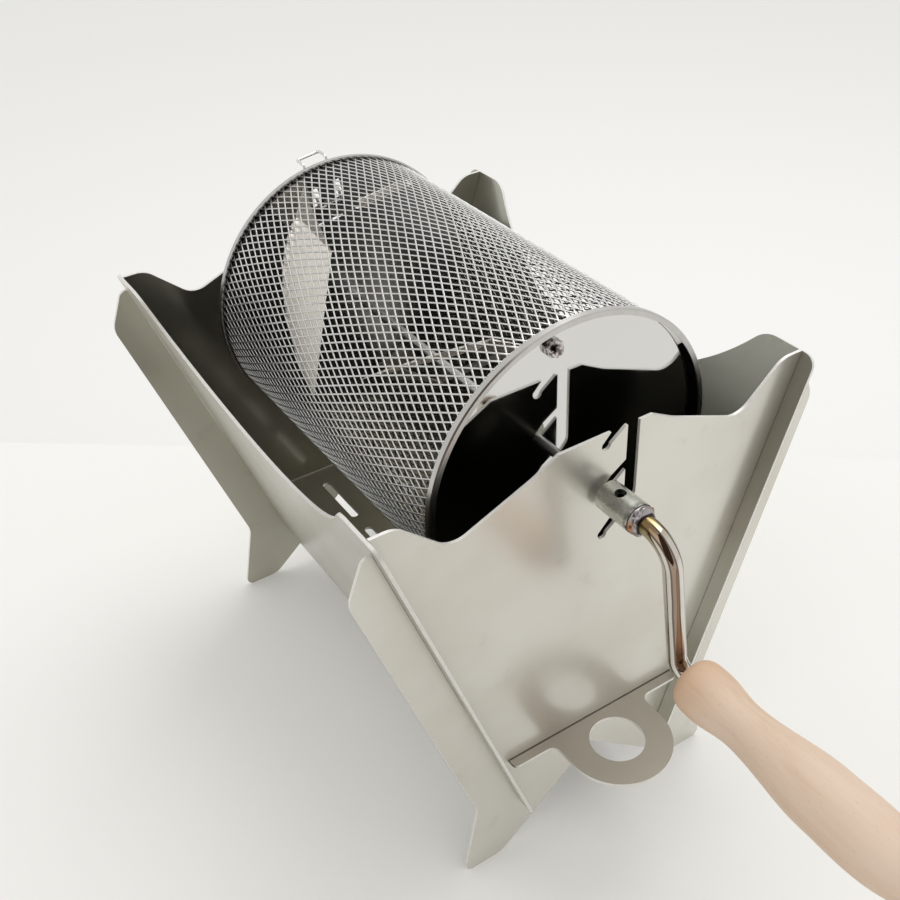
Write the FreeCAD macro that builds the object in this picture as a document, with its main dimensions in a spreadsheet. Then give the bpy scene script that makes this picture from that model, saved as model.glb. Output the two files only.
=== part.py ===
import FreeCAD, Part
import math
import os
import re
import Sketcher

# Stovetop coffee bean roaster: a stand of slotted sheets, a mesh drum that turns in hook seats,
# and a cranked grip. Millimetres, +Z up. The origin lies on the surface it stands on, midway
# between its feet. +X runs along the end plates, +Y along the drum, away from the crank.

SIZES = (
    ("sheet", 1.5, "stand: sheet thickness"),
    ("lap_gap", 0.2, "stand: play on each side of a sheet in its slit"),
    ("stand_half", 126, "stand: middle to the outer face of an end plate"),
    ("floor_height", 65.5, "stand: top face of the floor plate"),
    ("ear_height", 228.5, "stand: level where wall_ear is taken"),
    ("wall_floor", 54, "stand: side wall's mid-plane at floor_height"),
    ("wall_ear", 110, "stand: side wall's mid-plane at ear_height"),
    ("lap_height", 118.5, "stand: where plate slits and wall slits meet"),
    ("hill_half", 24, "end plate: half width of the raised middle"),
    ("hill_top", 231, "end plate: top of the raised middle"),
    ("brow_half", 36, "end plate: where the shoulder eases"),
    ("brow_top", 224.5, "end plate: shoulder height there"),
    ("dip_half", 74.6, "end plate: lowest corner of the top edge"),
    ("dip_top", 209, "end plate: height of that corner"),
    ("crown_half", 98.2, "end plate: start of the ear"),
    ("crown_top", 230, "end plate: top of the ear"),
    ("wing_top", 222.5, "end plate: top of the wing outside the wall"),
    ("wing_lip", 4.8, "end plate: level part of the wing's top"),
    ("wing_broad", 203, "end plate: height where the wing is full width"),
    ("wing_high", 19.3, "end plate: wing width there, from the wall"),
    ("knee_height", 41.5, "end plate: where the wing ends and the foot starts"),
    ("wing_low", 21.4, "end plate: wing width at the knee"),
    ("toe_half", 76, "end plate: outer corner of the foot"),
    ("heel_half", 54.5, "end plate: inner corner of the foot"),
    ("arch_top", 46, "end plate: apex of the arch between the feet"),
    ("ease_small", 4, "end plate: radius of toes, wing tips and channel"),
    ("ease_mid", 12, "end plate: radius of dips, crowns and knees"),
    ("ease_brow", 40, "end plate: radius of the shoulder"),
    ("axis_height", 202, "drum axis above the surface"),
    ("seat_pitch", 23.2, "end plate: step between seats"),
    ("seat_radius", 2.35, "end plate: radius of a shaft seat"),
    ("channel_near", 10.8, "end plate: near side of the drop channel"),
    ("channel_far", 17.3, "end plate: far side of the drop channel"),
    ("channel_floor", 7, "end plate: channel end above the lowest seat"),
    ("channel_slope", 8, "end plate: the channel's far side ends higher"),
    ("hook_mouth", 11.9, "end plate: hook's upper edge at the channel, above its seat"),
    ("hook_elbow", 3.2, "end plate: bend of the hook's upper edge, from the seat's axis"),
    ("hook_rise", 6.9, "end plate: height of that bend"),
    ("hook_lip", 6.6, "end plate: hook's lower edge at the channel"),
    ("hook_side", 1, "end plate: straight side above a seat"),
    ("wall_past", 8, "side wall: reach past an end plate"),
    ("wall_top", 229.5, "side wall: height of its ears"),
    ("wall_bottom", 30.5, "side wall: height of its lower edge"),
    ("valley_radius", 131, "side wall: radius of the curved top"),
    ("valley_low", 181, "side wall: lowest point of the curved top"),
    ("valley_ease", 14, "side wall: radius where the curve meets the ear"),
    ("ear_corner", 6, "side wall: radius of the ear's outer corner"),
    ("floor_half", 49.2, "floor plate: half width"),
    ("floor_side_gap", 0.3, "floor plate: play beside it in the slots"),
    ("floor_under_gap", 0.1, "floor plate: play under it in the slots"),
    ("floor_over_gap", 0.6, "floor plate: play above it in the slots"),
    ("floor_step", 5, "floor plate: reach past an end plate"),
    ("ring_out", 18.7, "floor plate: ring centre past the end plate"),
    ("ring_radius", 26.2, "floor plate: outer radius of the ring"),
    ("ring_hole", 13.2, "floor plate: hole radius of the ring"),
    ("ring_ease", 4.4, "floor plate: radius beside the ring"),
    ("floor_corner", 2.5, "floor plate: radius of its corners"),
    ("vent_half_gap", 19.8, "floor plate: middle to a row of vents"),
    ("vent_length", 39, "floor plate: length of a vent"),
    ("vent_width", 4.8, "floor plate: width of a vent"),
    ("vent_pitch", 51.7, "floor plate: step between vents"),
    ("vent_inset", 35, "floor plate: end plate to the middle of the rearmost vent"),
    ("drum_turn", 8.25, "drum: turn from upright at rest, degrees"),
    ("drum_radius", 72.9, "drum: outside of the rim hoops"),
    ("front_room", 18.3, "drum: front end plate to the front rim"),
    ("rear_room", 27.7, "drum: rear end plate to the rear rim"),
    ("tin", 0.8, "drum: thickness of discs, hoops, vanes and door"),
    ("mesh_gauge", 0.9, "drum: thickness of the mesh"),
    ("mesh_around", 12, "drum: openings round the mesh"),
    ("mesh_along", 12, "drum: openings along the mesh"),
    ("mesh_bar", 5.2, "drum: width of the mesh between openings"),
    ("seam_gap", 0.05, "drum: play between rolled layers"),
    ("hoop_skirt", 3.2, "drum: length of a rim hoop"),
    ("hoop_ease", 0.6, "drum: bevel of a hoop's outer edge"),
    ("lip_reach", 0.1, "drum: hoop lip inside the disc's wall"),
    ("recess", 4.2, "drum: disc face behind the rim"),
    ("shaft_radius", 2.3, "drum: radius of the shaft"),
    ("fit_gap", 0.02, "drum: play of a tight fit"),
    ("shaft_past", 2, "drum: shaft past its collar"),
    ("hub_radius", 6, "drum: radius of a hub bush"),
    ("hub_length", 8, "drum: length of a hub bush"),
    ("collar_radius", 5, "drum: radius of the rear collar"),
    ("collar_length", 6, "drum: length of the rear collar"),
    ("end_play", 0.5, "drum: play of collar and socket at the end plates"),
    ("bolt_circle", 62.4, "front vanes: radius where their bolts stand"),
    ("bolt_angle", 91, "front vanes: angle of the bolt, degrees"),
    ("bolt_radius", 2, "vanes: radius of a bolt"),
    ("bolt_head", 3.6, "vanes: radius of a bolt head"),
    ("bolt_head_high", 2.4, "vanes: height of a bolt head"),
    ("bolt_tail", 2, "vanes: bolt past its nut"),
    ("nut_flats", 7, "vanes: nut across flats"),
    ("nut_high", 3.2, "vanes: height of a nut"),
    ("vane_gap", 0.5, "vanes: clear of the mesh"),
    ("foot_inner", 55.5, "vanes: inner radius of the foot"),
    ("foot_end", 116, "vanes: angle where the foot ends, degrees"),
    ("web_radius", 67, "vanes: outer radius where the web leaves the foot"),
    ("web_angle", 98, "vanes: angle of that point, degrees"),
    ("leaf_inner", 56.2, "vanes: radius of the leaf's inner corner"),
    ("leaf_lead", 1.5, "vanes: inner corner past the outer one, degrees"),
    ("rear_foot_start", 97, "rear vanes: angle where the foot starts, degrees"),
    ("front_foot_start", 84, "front vanes: angle where the foot starts, degrees"),
    ("rear_leaf_near", 23, "rear vanes: disc to the leaf's outer corner"),
    ("rear_leaf_deep", 45, "rear vanes: disc to the leaf's inner corner"),
    ("rear_leaf_angle", 111.6, "rear vanes: angle of the outer corner, degrees"),
    ("rear_tip_deep", 96, "rear vanes: disc to the tip"),
    ("rear_tip_angle", 165.6, "rear vanes: angle of the tip, degrees"),
    ("front_leaf_near", 14, "front vanes: disc to the leaf's outer corner"),
    ("front_leaf_deep", 30, "front vanes: disc to the leaf's inner corner"),
    ("front_leaf_angle", 106, "front vanes: angle of the outer corner, degrees"),
    ("front_tip_deep", 62, "front vanes: disc to the tip"),
    ("front_tip_angle", 143, "front vanes: angle of the tip, degrees"),
    ("window_radius", 66, "door: radius of the doorway"),
    ("window_low", 41.6, "door: lower edge of the doorway"),
    ("window_left", 8, "door: middle to the doorway's upright edge"),
    ("door_radius", 69.2, "door: radius of the flap"),
    ("door_low", 46.2, "door: lower edge of the flap"),
    ("door_gap", 0.3, "door: clear of the disc"),
    ("hinge_up", 43.6, "door: hinge axis above the drum's axis"),
    ("hinge_off", 2.3, "door: hinge axis behind the disc's face"),
    ("knuckle_radius", 1.8, "door: radius of a hinge knuckle"),
    ("hinge_pin", 1, "door: radius of the hinge pin"),
    ("hinge_play", 0.05, "door: play of the flap on the pin"),
    ("hinge_half", 48, "door: half length of the hinge"),
    ("flap_knuckle", 18, "door: half length of the flap's knuckle"),
    ("knuckle_gap", 0.4, "door: gap between knuckles"),
    ("leaf_low", 33, "door: lower edge of the hinge leaf"),
    ("leaf_high", 41, "door: upper edge of the hinge leaf"),
    ("rivet_radius", 1.6, "door: radius of a rivet"),
    ("rivet_head", 2.8, "door: radius of a rivet head"),
    ("rivet_high", 1.1, "door: height of a rivet head"),
    ("rivet_side", 34, "door: middle to an outer hinge rivet"),
    ("wire", 0.8, "latch: radius of the wire"),
    ("wire_play", 0.08, "latch: play of the wire in its strap"),
    ("wire_bend", 1.8, "latch: bend radius of the wire"),
    ("latch_side", 2.2, "latch: drum's middle to the wire's middle"),
    ("latch_half", 6.4, "latch: middle to a leg of the wire"),
    ("latch_low", 51, "latch: height of the wire's lower bar"),
    ("latch_knee", 57, "latch: height where the wire passes the flap"),
    ("latch_pull", 73.4, "latch: height of the finger loop"),
    ("latch_back", 1.6, "latch: clear of the rim's rear edge"),
    ("latch_reach", 9.4, "latch: loop behind the rim"),
    ("latch_travel", 2.5, "latch: way the wire is pressed in"),
    ("strap_half", 2.2, "latch: half width of the strap"),
    ("strap_wall", 0.6, "latch: thickness of the strap"),
    ("slot_side", 1.2, "latch: flap's slot beside a leg"),
    ("slot_rise", 3, "latch: flap's slot above the wire, beyond slot_side"),
    ("socket_off", 2.5, "crank: front end plate to the socket"),
    ("socket_radius", 6.9, "crank: radius of the socket"),
    ("socket_length", 19.5, "crank: length of the socket"),
    ("socket_bore", 15, "crank: depth of the socket's bore"),
    ("screw_back", 8.6, "crank: socket mouth to the screw hole"),
    ("screw_radius", 2.5, "crank: radius of the screw hole"),
    ("screw_sunk", 1.6, "crank: set screw under the surface"),
    ("hex_flats", 2.5, "crank: set screw's hexagon across flats"),
    ("rod_radius", 4.3, "crank: radius of the rod"),
    ("bead_length", 4.6, "crank: length of the weld bead"),
    ("bead_step", 0.3, "crank: bead's end above the rod"),
    ("arm_out", 41, "crank: end plate to the arm"),
    ("arm_length", 76, "crank: drum axis to grip axis"),
    ("upper_bend", 13.2, "crank: radius of the upper bend"),
    ("lower_bend", 8, "crank: radius of the lower bend"),
    ("grip_gap", 0.4, "grip: clear of the bend"),
    ("grip_play", 0.1, "grip: play on the rod"),
    ("grip_length", 120, "grip: length"),
    ("grip_mouth", 8.4, "grip: radius at the mouth"),
    ("grip_bulb", 12.7, "grip: radius of the bulb"),
    ("bulb_at", 11, "grip: mouth to the bulb"),
    ("grip_neck", 10.4, "grip: radius of the neck"),
    ("neck_at", 31, "grip: mouth to the neck"),
    ("grip_belly", 14.6, "grip: radius of the belly"),
    ("belly_at", 74, "grip: mouth to the belly"),
    ("grip_tail", 12.6, "grip: radius before the tail's round"),
    ("tail_at", 112, "grip: mouth to the tail's round"),
    ("tail_face", 8.5, "grip: radius of the tail's flat face"),
    ("pocket_radius", 7, "grip: radius of the tail pocket"),
    ("pocket_deep", 8, "grip: depth of the tail pocket"),
    ("ring_wall", 2.1, "grip: width of the retaining ring"),
    ("ring_thick", 2, "grip: thickness of the retaining ring"),
)

V = FreeCAD.Vector
Y_AXIS = V(0, 1, 0)
FLAT_AXES = {"XZ_Plane": (0, 2), "YZ_Plane": (1, 2), "XY_Plane": (0, 1)}

os.makedirs("parts", exist_ok=True)
doc = FreeCAD.newDocument("bean_roaster")
sheet = doc.addObject("Spreadsheet::Sheet", "sizes")
for row, (alias, value, meaning) in enumerate(SIZES, 1):
    sheet.set("A%d" % row, meaning)
    sheet.set("B%d" % row, str(value))
    sheet.setAlias("B%d" % row, alias)
doc.recompute()

ALIASES = {row[0] for row in SIZES}
PARTS = []

# Lengths that several pieces share, as formulas of the sheet's own values.
LEAN = "((wall_ear - wall_floor) / (ear_height - floor_height))"
SLANT = "sqrt(1 + %s^2)" % LEAN
MESH_OUT = "(drum_radius - tin - seam_gap)"
DISH_OUT = "(drum_radius - tin - mesh_gauge - 2 * seam_gap)"
DISH_IN = "(%s - tin)" % DISH_OUT
WALL_HALF = "(stand_half + wall_past)"
FRONT_RIM = "(stand_half - sheet - front_room)"
REAR_RIM = "(stand_half - sheet - rear_room)"
REAR_FACE = "(%s - recess)" % REAR_RIM
FLAP_BACK = "(%s + door_gap + tin)" % REAR_FACE
HINGE_BACK = "(%s + hinge_off)" % REAR_FACE
WIRE_BACK = "(%s - tin - wire - wire_play)" % FLAP_BACK
SOCKET_MOUTH = "(stand_half + socket_off)"
SOCKET_END = "(stand_half + socket_off + socket_length)"
COLLAR_FACE = "(stand_half + end_play)"
ARM_PLANE = "(stand_half + arm_out)"
GRIP_START = "(stand_half + arm_out + lower_bend + grip_gap)"


def bound(text):
    """Put the sheet's name before each alias in a formula."""
    return re.sub(r"[a-z][a-z_]*", lambda m: "sizes." + m[0] if m[0] in ALIASES else m[0], text)


def mm(text):
    """Value of a formula of the sheet's aliases."""
    return float(sheet.evalExpression(bound(text)))


def wall_x(height):
    """Formula for the side wall's mid-plane at a height."""
    return "(wall_floor + (%s - floor_height) * %s)" % (height, LEAN)


def up_wall(height):
    """Formula for the way up the leaning wall, from the floor plate's top to a height."""
    return "((%s - floor_height) * %s)" % (height, SLANT)


def bind(thing, **formulas):
    """Bind properties to formulas of the sheet."""
    for name, formula in formulas.items():
        thing.setExpression(name, bound(formula))
    return thing


def keep(thing, label, across="0", along="0", up="0", turn="0"):
    """Name a finished piece and bind its place: an offset and a turn about +Y."""
    thing.Label = label
    sign = -1 if turn.startswith("-") else 1
    thing.Placement = FreeCAD.Placement(V(0, 0, 0), FreeCAD.Rotation(V(0, sign, 0), 10))
    thing.setExpression("Placement.Rotation.Angle", bound(turn.lstrip("-")))
    thing.setExpression("Placement.Base.x", bound(across))
    thing.setExpression("Placement.Base.y", bound(along))
    thing.setExpression("Placement.Base.z", bound(up))
    PARTS.append(thing)
    return thing


def on_drum(thing, label):
    """Keep a piece modelled about the drum's own axis, turned as the drum rests."""
    return keep(thing, label, up="axis_height", turn="-drum_turn")


def new_body(name):
    return doc.addObject("PartDesign::Body", name)


def sketch_on(body, name, role, lift=None):
    """Sketch on one of the body's origin planes, lifted along the plane's normal."""
    plane = [f for f in body.Origin.OriginFeatures if f.Role == role][0]
    sketch = body.newObject("Sketcher::SketchObject", body.Name + "_" + name)
    sketch.AttachmentSupport = [(plane, "")]
    sketch.MapMode = "FlatFace"
    if lift:
        sketch.setExpression("AttachmentOffset.Base.z", bound(lift))
    return sketch


def pin_point(sketch, item, point, across, up):
    """Tie a point of a sketch to two formulas, measured from the sketch's origin."""
    for kind, formula in (("DistanceX", across), ("DistanceY", up)):
        index = sketch.addConstraint(Sketcher.Constraint(kind, -1, 1, item, point, mm(formula)))
        sketch.setExpression("Constraints[%d]" % index, bound(formula))


def polygon(sketch, corners):
    """Closed outline whose corners are pairs of formulas."""
    first = sketch.GeometryCount
    count = len(corners)
    spots = [V(mm(a), mm(b), 0) for a, b in corners]
    for i in range(count):
        sketch.addGeometry(Part.LineSegment(spots[i], spots[(i + 1) % count]), False)
    for i in range(count):
        after = first + (i + 1) % count
        sketch.addConstraint(Sketcher.Constraint("Coincident", first + i, 2, after, 1))
    for i, (across, up) in enumerate(corners):
        pin_point(sketch, first + i, 1, across, up)


def mirrored(corners):
    """The corners, then the same corners with the other sign in reverse order."""
    return corners + [("-(%s)" % a, b) for a, b in reversed(corners) if a != "0"]


def rectangle(sketch, left, right, low, high):
    polygon(sketch, [(left, low), (right, low), (right, high), (left, high)])


def circle(sketch, across, up, radius):
    shape = Part.Circle(V(mm(across), mm(up), 0), V(0, 0, 1), mm(radius))
    item = sketch.addGeometry(shape, False)
    pin_point(sketch, item, 3, across, up)
    index = sketch.addConstraint(Sketcher.Constraint("Radius", item, mm(radius)))
    sketch.setExpression("Constraints[%d]" % index, bound(radius))


def segment(sketch, radius, chord, left):
    """Part of a disc above a level chord and right of an upright line."""
    far, low, near = mm(radius), mm(chord), mm(left)
    start, end = math.asin(low / far), math.acos(near / far)
    right = V(far * math.cos(start), low, 0)
    top = V(near, far * math.sin(end), 0)
    corner = V(near, low, 0)
    whole = Part.Circle(V(0, 0, 0), V(0, 0, 1), far)
    arc = sketch.addGeometry(Part.ArcOfCircle(whole, start, end), False)
    upright = sketch.addGeometry(Part.LineSegment(top, corner), False)
    level = sketch.addGeometry(Part.LineSegment(corner, right), False)
    sketch.addConstraint(Sketcher.Constraint("Coincident", arc, 3, -1, 1))
    sketch.addConstraint(Sketcher.Constraint("Coincident", arc, 2, upright, 1))
    sketch.addConstraint(Sketcher.Constraint("Coincident", upright, 2, level, 1))
    sketch.addConstraint(Sketcher.Constraint("Coincident", level, 2, arc, 1))
    sketch.addConstraint(Sketcher.Constraint("Vertical", upright))
    sketch.addConstraint(Sketcher.Constraint("Horizontal", level))
    index = sketch.addConstraint(Sketcher.Constraint("Radius", arc, far))
    sketch.setExpression("Constraints[%d]" % index, bound(radius))
    pin_point(sketch, level, 1, left, chord)


def pad(body, sketch, length):
    """Pad a sketch by half the length on each side of its plane."""
    feature = body.newObject("PartDesign::Pad", sketch.Name + "_pad")
    feature.Profile = sketch
    feature.Midplane = True
    bind(feature, Length=length)
    doc.recompute()
    return feature


def cut_through(body, sketch):
    """Pocket a sketch right through on both sides, and make sure that it cuts."""
    before = body.Shape.Volume
    feature = body.newObject("PartDesign::Pocket", sketch.Name + "_cut")
    feature.Profile = sketch
    feature.Type = "ThroughAll"
    feature.Midplane = True
    doc.recompute()
    if not body.Shape.Volume < before:
        raise RuntimeError(sketch.Name + " cuts nothing")
    return feature


def round_corners(body, role, corners, radius):
    """Round the edges that stand across the sheet at the given corners."""
    a, b = FLAT_AXES[role]
    spots = [(mm(p), mm(q)) for p, q in corners]
    names = []
    tip = body.Tip
    for number, edge in enumerate(tip.Shape.Edges, 1):
        ends = [v.Point for v in edge.Vertexes]
        if len(ends) != 2 or abs(ends[0][a] - ends[1][a]) + abs(ends[0][b] - ends[1][b]) > 0.001:
            continue
        if any(math.hypot(ends[0][a] - p, ends[0][b] - q) < 0.01 for p, q in spots):
            names.append("Edge%d" % number)
    if len(names) != len(spots):
        raise RuntimeError("%s: %d corners, %d edges" % (body.Name, len(spots), len(names)))
    feature = body.newObject("PartDesign::Fillet", "%s_ease_%d" % (body.Name, len(body.Group)))
    feature.Base = (tip, names)
    bind(feature, Radius=radius)
    doc.recompute()


def turned(name, corners):
    """Solid of revolution about the body's Y axis, from corners given as (along, radius)."""
    body = new_body(name)
    sketch = sketch_on(body, "profile", "YZ_Plane")
    polygon(sketch, corners)
    feature = body.newObject("PartDesign::Revolution", name + "_turn")
    feature.Profile = sketch
    feature.ReferenceAxis = (sketch, ["H_Axis"])
    feature.Angle = 360
    doc.recompute()
    return body


def tube(name, start, end, inner, outer):
    """Round tube about the Y axis between two distances along it."""
    return turned(name, [(start, inner), (end, inner), (end, outer), (start, outer)])


def solid_piece(name, shape):
    """Piece whose shape is worked out from the sheet's values."""
    piece = doc.addObject("Part::Feature", name)
    piece.Shape = shape
    return piece


# ---- Stand -------------------------------------------------------------------------------


def end_plate(label, along):
    """End plate: ears, raised middle, wings outside the walls, two feet and an arch.

    It has a slit for each side wall, a slot for the floor plate, and a drop channel with three
    hooks whose ends seat the drum's shaft at three heights.
    """
    body = new_body(label)
    role = "XZ_Plane"
    knee = (wall_x("knee_height") + " + wing_low", "knee_height")
    broad = (wall_x("wing_broad") + " + wing_high", "wing_broad")
    tip = (wall_x("wing_top") + " + wing_lip", "wing_top")
    toe, heel = ("toe_half", "0"), ("heel_half", "0")
    dip, crown = ("dip_half", "dip_top"), ("crown_half", "crown_top")
    brow = ("brow_half", "brow_top")
    half = [("0", "arch_top"), heel, toe, knee, broad, tip, (wall_x("wing_top"), "wing_top")]
    half += [(wall_x("crown_top"), "crown_top"), crown, dip, brow, ("hill_half", "hill_top")]
    outline = sketch_on(body, "outline", role)
    polygon(outline, mirrored(half))
    pad(body, outline, "sheet")
    for radius, group in (
        ("ease_brow", [brow]),
        ("ease_mid", [dip, crown, knee, broad, heel]),
        ("ease_small", [toe, tip]),
    ):
        round_corners(body, role, mirrored(group), radius)

    slits = sketch_on(body, "wall_slits", role)
    low, high = up_wall("lap_height"), up_wall("crown_top + sheet")
    side = "(sheet / 2 + lap_gap)"
    for sign in ("", "-"):
        corners = []
        for way, off in ((low, "-"), (low, "+"), (high, "+"), (high, "-")):
            across = "(wall_floor + (%s * %s %s %s) / %s)" % (way, LEAN, off, side, SLANT)
            other = "-" if off == "+" else "+"
            up = "floor_height + (%s %s %s * %s) / %s" % (way, other, side, LEAN, SLANT)
            corners.append((sign + across, up))
        polygon(slits, corners)
    cut_through(body, slits)

    slot = sketch_on(body, "floor_slot", role)
    edge = "(floor_half + floor_side_gap)"
    under = "floor_height - sheet - floor_under_gap"
    rectangle(slot, "-" + edge, edge, under, "floor_height + floor_over_gap")
    cut_through(body, slot)

    channel = sketch_on(body, "channel", role)
    foot = "axis_height - seat_pitch + channel_floor"
    turn = ("channel_far", foot + " + channel_slope")
    top = "hill_top + sheet"
    polygon(channel, [("channel_near", foot), turn, ("channel_far", top), ("channel_near", top)])
    cut_through(body, channel)
    round_corners(body, role, [turn], "ease_small")
    for step in (-1, 0, 1):
        seat = "axis_height + %d * seat_pitch" % step
        inside = "(channel_near + sheet)"
        rise = "(hook_mouth - hook_rise) / (channel_near - hook_elbow) * sheet"
        drop = "hook_lip / (channel_near - seat_radius) * sheet"
        hook = sketch_on(body, "hook_%d" % (step + 2), role)
        polygon(
            hook,
            [
                ("-seat_radius", seat),
                ("seat_radius", seat),
                (inside, "%s + hook_lip + %s" % (seat, drop)),
                (inside, "%s + hook_mouth + %s" % (seat, rise)),
                ("hook_elbow", seat + " + hook_rise"),
                ("-seat_radius", seat + " + hook_side"),
            ],
        )
        cut_through(body, hook)
        round_end = sketch_on(body, "seat_%d" % (step + 2), role)
        circle(round_end, "0", seat, "seat_radius")
        cut_through(body, round_end)
    keep(body, label, along=along)


def side_wall(label, sign):
    """Leaning side wall: straight lower edge, curved top between two ears.

    Its slits come up from below and straddle the end plates, so each end stands a little past
    a plate. Drawn upright from the floor plate's level, then leaned outward.
    """
    body = new_body(label)
    role = "YZ_Plane"
    ear, bottom = up_wall("wall_top"), up_wall("wall_bottom")
    outline = sketch_on(body, "outline", role)
    rectangle(outline, "-" + WALL_HALF, WALL_HALF, bottom, ear)
    pad(body, outline, "sheet")
    round_corners(body, role, mirrored([(WALL_HALF, ear)]), "ear_corner")

    valley = sketch_on(body, "valley", role)
    middle = "(%s + valley_radius)" % up_wall("valley_low")
    circle(valley, "0", middle, "valley_radius")
    cut_through(body, valley)
    brink = "sqrt(valley_radius^2 - (%s - %s)^2)" % (middle, ear)
    round_corners(body, role, [(brink, ear), ("-" + brink, ear)], "valley_ease")

    slits = sketch_on(body, "plate_slits", role)
    for plate in ("-", ""):
        middle = "%s(stand_half - sheet / 2)" % plate
        side = "(sheet / 2 + lap_gap)"
        start, end = "%s - %s" % (middle, side), "%s + %s" % (middle, side)
        rectangle(slits, start, end, bottom + " - sheet", up_wall("lap_height"))
    cut_through(body, slits)
    across = "%swall_floor" % sign
    keep(body, label, across=across, up="floor_height", turn="%satan(%s)" % (sign, LEAN))


def floor_plate():
    """Loose floor plate that slides in the end plates' slots, pulled by its round ring.

    Two rows of long vents let heat through. Its top face lies at floor_height.
    """
    body = new_body("floor_plate")
    role = "XY_Plane"
    reach = "(stand_half + floor_step)"
    outline = sketch_on(body, "outline", role)
    root = [("ring_radius", "-" + reach), ("-ring_radius", "-" + reach)]
    ring_y = "-(stand_half + ring_out)"
    polygon(
        outline,
        [
            ("floor_half", reach),
            ("-floor_half", reach),
            ("-floor_half", "-" + reach),
            root[1],
            ("-ring_radius", ring_y),
            ("ring_radius", ring_y),
            root[0],
            ("floor_half", "-" + reach),
        ],
    )
    pad(body, outline, "sheet")
    corners = [("floor_half", reach), ("floor_half", "-" + reach)]
    round_corners(body, role, mirrored(corners), "floor_corner")
    round_corners(body, role, root, "ring_ease")
    ring = sketch_on(body, "ring", role)
    circle(ring, "0", ring_y, "ring_radius")
    pad(body, ring, "sheet")
    hole = sketch_on(body, "ring_hole", role)
    circle(hole, "0", ring_y, "ring_hole")
    cut_through(body, hole)

    for number in range(4):
        vents = sketch_on(body, "vents_%d" % (number + 1), role)
        middle = "stand_half - vent_inset - %d * vent_pitch" % number
        for sign in ("", "-"):
            near = "%svent_half_gap - vent_width / 2" % sign
            far = "%svent_half_gap + vent_width / 2" % sign
            start, end = middle + " - vent_length / 2", middle + " + vent_length / 2"
            rectangle(vents, near, far, start, end)
        cut_through(body, vents)
        ends = [(near, start), (far, start), (near, end), (far, end)]
        ends += [("vent_half_gap - vent_width / 2", start), ("vent_half_gap + vent_width / 2", start)]
        ends += [("vent_half_gap - vent_width / 2", end), ("vent_half_gap + vent_width / 2", end)]
        round_corners(body, role, ends, "vent_width / 2 - lap_gap")
    keep(body, "floor_plate", up="floor_height - sheet / 2")


# ---- Drum --------------------------------------------------------------------------------


def drum_shell(end, sign, rim):
    """Rim hoop and recessed disc of one end, with a hub bush behind the disc.

    The hoop's skirt wraps the mesh, and its lip hides the edge of the disc's short wall.
    """
    def at(distance):
        return "%s(%s - %s)" % (sign, rim, distance)

    lip = "(%s - lip_reach)" % DISH_IN
    hoop = turned(
        end + "_hoop",
        [
            (at("0"), lip),
            (at("0"), "drum_radius - hoop_ease"),
            (at("hoop_ease"), "drum_radius"),
            (at("hoop_skirt"), "drum_radius"),
            (at("hoop_skirt"), "drum_radius - tin"),
            (at("tin"), "drum_radius - tin"),
            (at("tin"), lip),
        ],
    )
    on_drum(hoop, end + "_hoop")

    bore = "(shaft_radius + fit_gap)"
    disc = turned(
        end + "_disc",
        [
            (at("recess"), bore),
            (at("recess"), DISH_IN),
            (at("(tin + seam_gap)"), DISH_IN),
            (at("(tin + seam_gap)"), DISH_OUT),
            (at("(recess + tin)"), DISH_OUT),
            (at("(recess + tin)"), bore),
        ],
    )
    if end == "front":
        holes = sketch_on(disc, "bolt_holes", "XZ_Plane")
        for half_turn in (0, 180):
            angle = "(bolt_angle + %d)" % half_turn
            across, up = "bolt_circle * cos(%s)" % angle, "bolt_circle * sin(%s)" % angle
            circle(holes, across, up, "bolt_radius + fit_gap")
        cut_through(disc, holes)
    else:
        doorway = sketch_on(disc, "doorway", "XZ_Plane")
        segment(doorway, "window_radius", "window_low", "-window_left")
        cut_through(disc, doorway)
    on_drum(disc, end + "_disc")

    inner = at("(recess + tin)")
    hub_end = at("(recess + tin + hub_length)")
    hub = tube(end + "_hub", inner, hub_end, bore, "hub_radius")
    on_drum(hub, end + "_hub")


def drum_mesh():
    """Mesh wall of the drum, held between the discs' walls and the hoops.

    A plain grid of large openings stands in for the fine diamonds, with as much open area.
    """
    start, end = "-(%s - tin - seam_gap)" % FRONT_RIM, "(%s - tin - seam_gap)" % REAR_RIM
    mesh = tube("drum_mesh", start, end, MESH_OUT + " - mesh_gauge", MESH_OUT)
    column = sketch_on(mesh, "openings", "XY_Plane")
    first = "(%s + hoop_skirt)" % start
    pitch = "((%s - hoop_skirt - mesh_bar - %s) / mesh_along)" % (end, first)
    side = "(pi * %s / mesh_around - mesh_bar / 2)" % MESH_OUT
    for row in range(int(mm("mesh_along"))):
        low = "%s + %d * %s + mesh_bar" % (first, row, pitch)
        rectangle(column, "-" + side, side, low, "%s + %d * %s" % (first, row + 1, pitch))
    cut_through(mesh, column)
    ring = mesh.newObject("PartDesign::PolarPattern", "drum_mesh_openings_round")
    ring.Originals = [mesh.Tip]
    ring.Axis = (column, ["V_Axis"])
    bind(ring, Occurrences="mesh_around / 2", Angle="180 - 360 / mesh_around")
    mesh.Tip = ring
    on_drum(mesh, "drum_mesh")


def drum_shaft():
    """Plain round shaft through the drum, from the crank socket to behind the rear plate."""
    shaft = doc.addObject("Part::Cylinder", "drum_shaft_bar")
    start = "%s + socket_bore" % SOCKET_MOUTH
    end = "%s + collar_length + shaft_past" % COLLAR_FACE
    bind(shaft, Radius="shaft_radius", Height="%s + %s" % (end, start))
    shaft.Placement = FreeCAD.Placement(V(0, 0, 0), FreeCAD.Rotation(V(-1, 0, 0), 90))
    bind(shaft, **{"Placement.Base.y": "-(%s)" % start})
    piece = doc.addObject("Part::Compound", "drum_shaft")
    piece.Links = [shaft]
    on_drum(piece, "drum_shaft")


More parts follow.
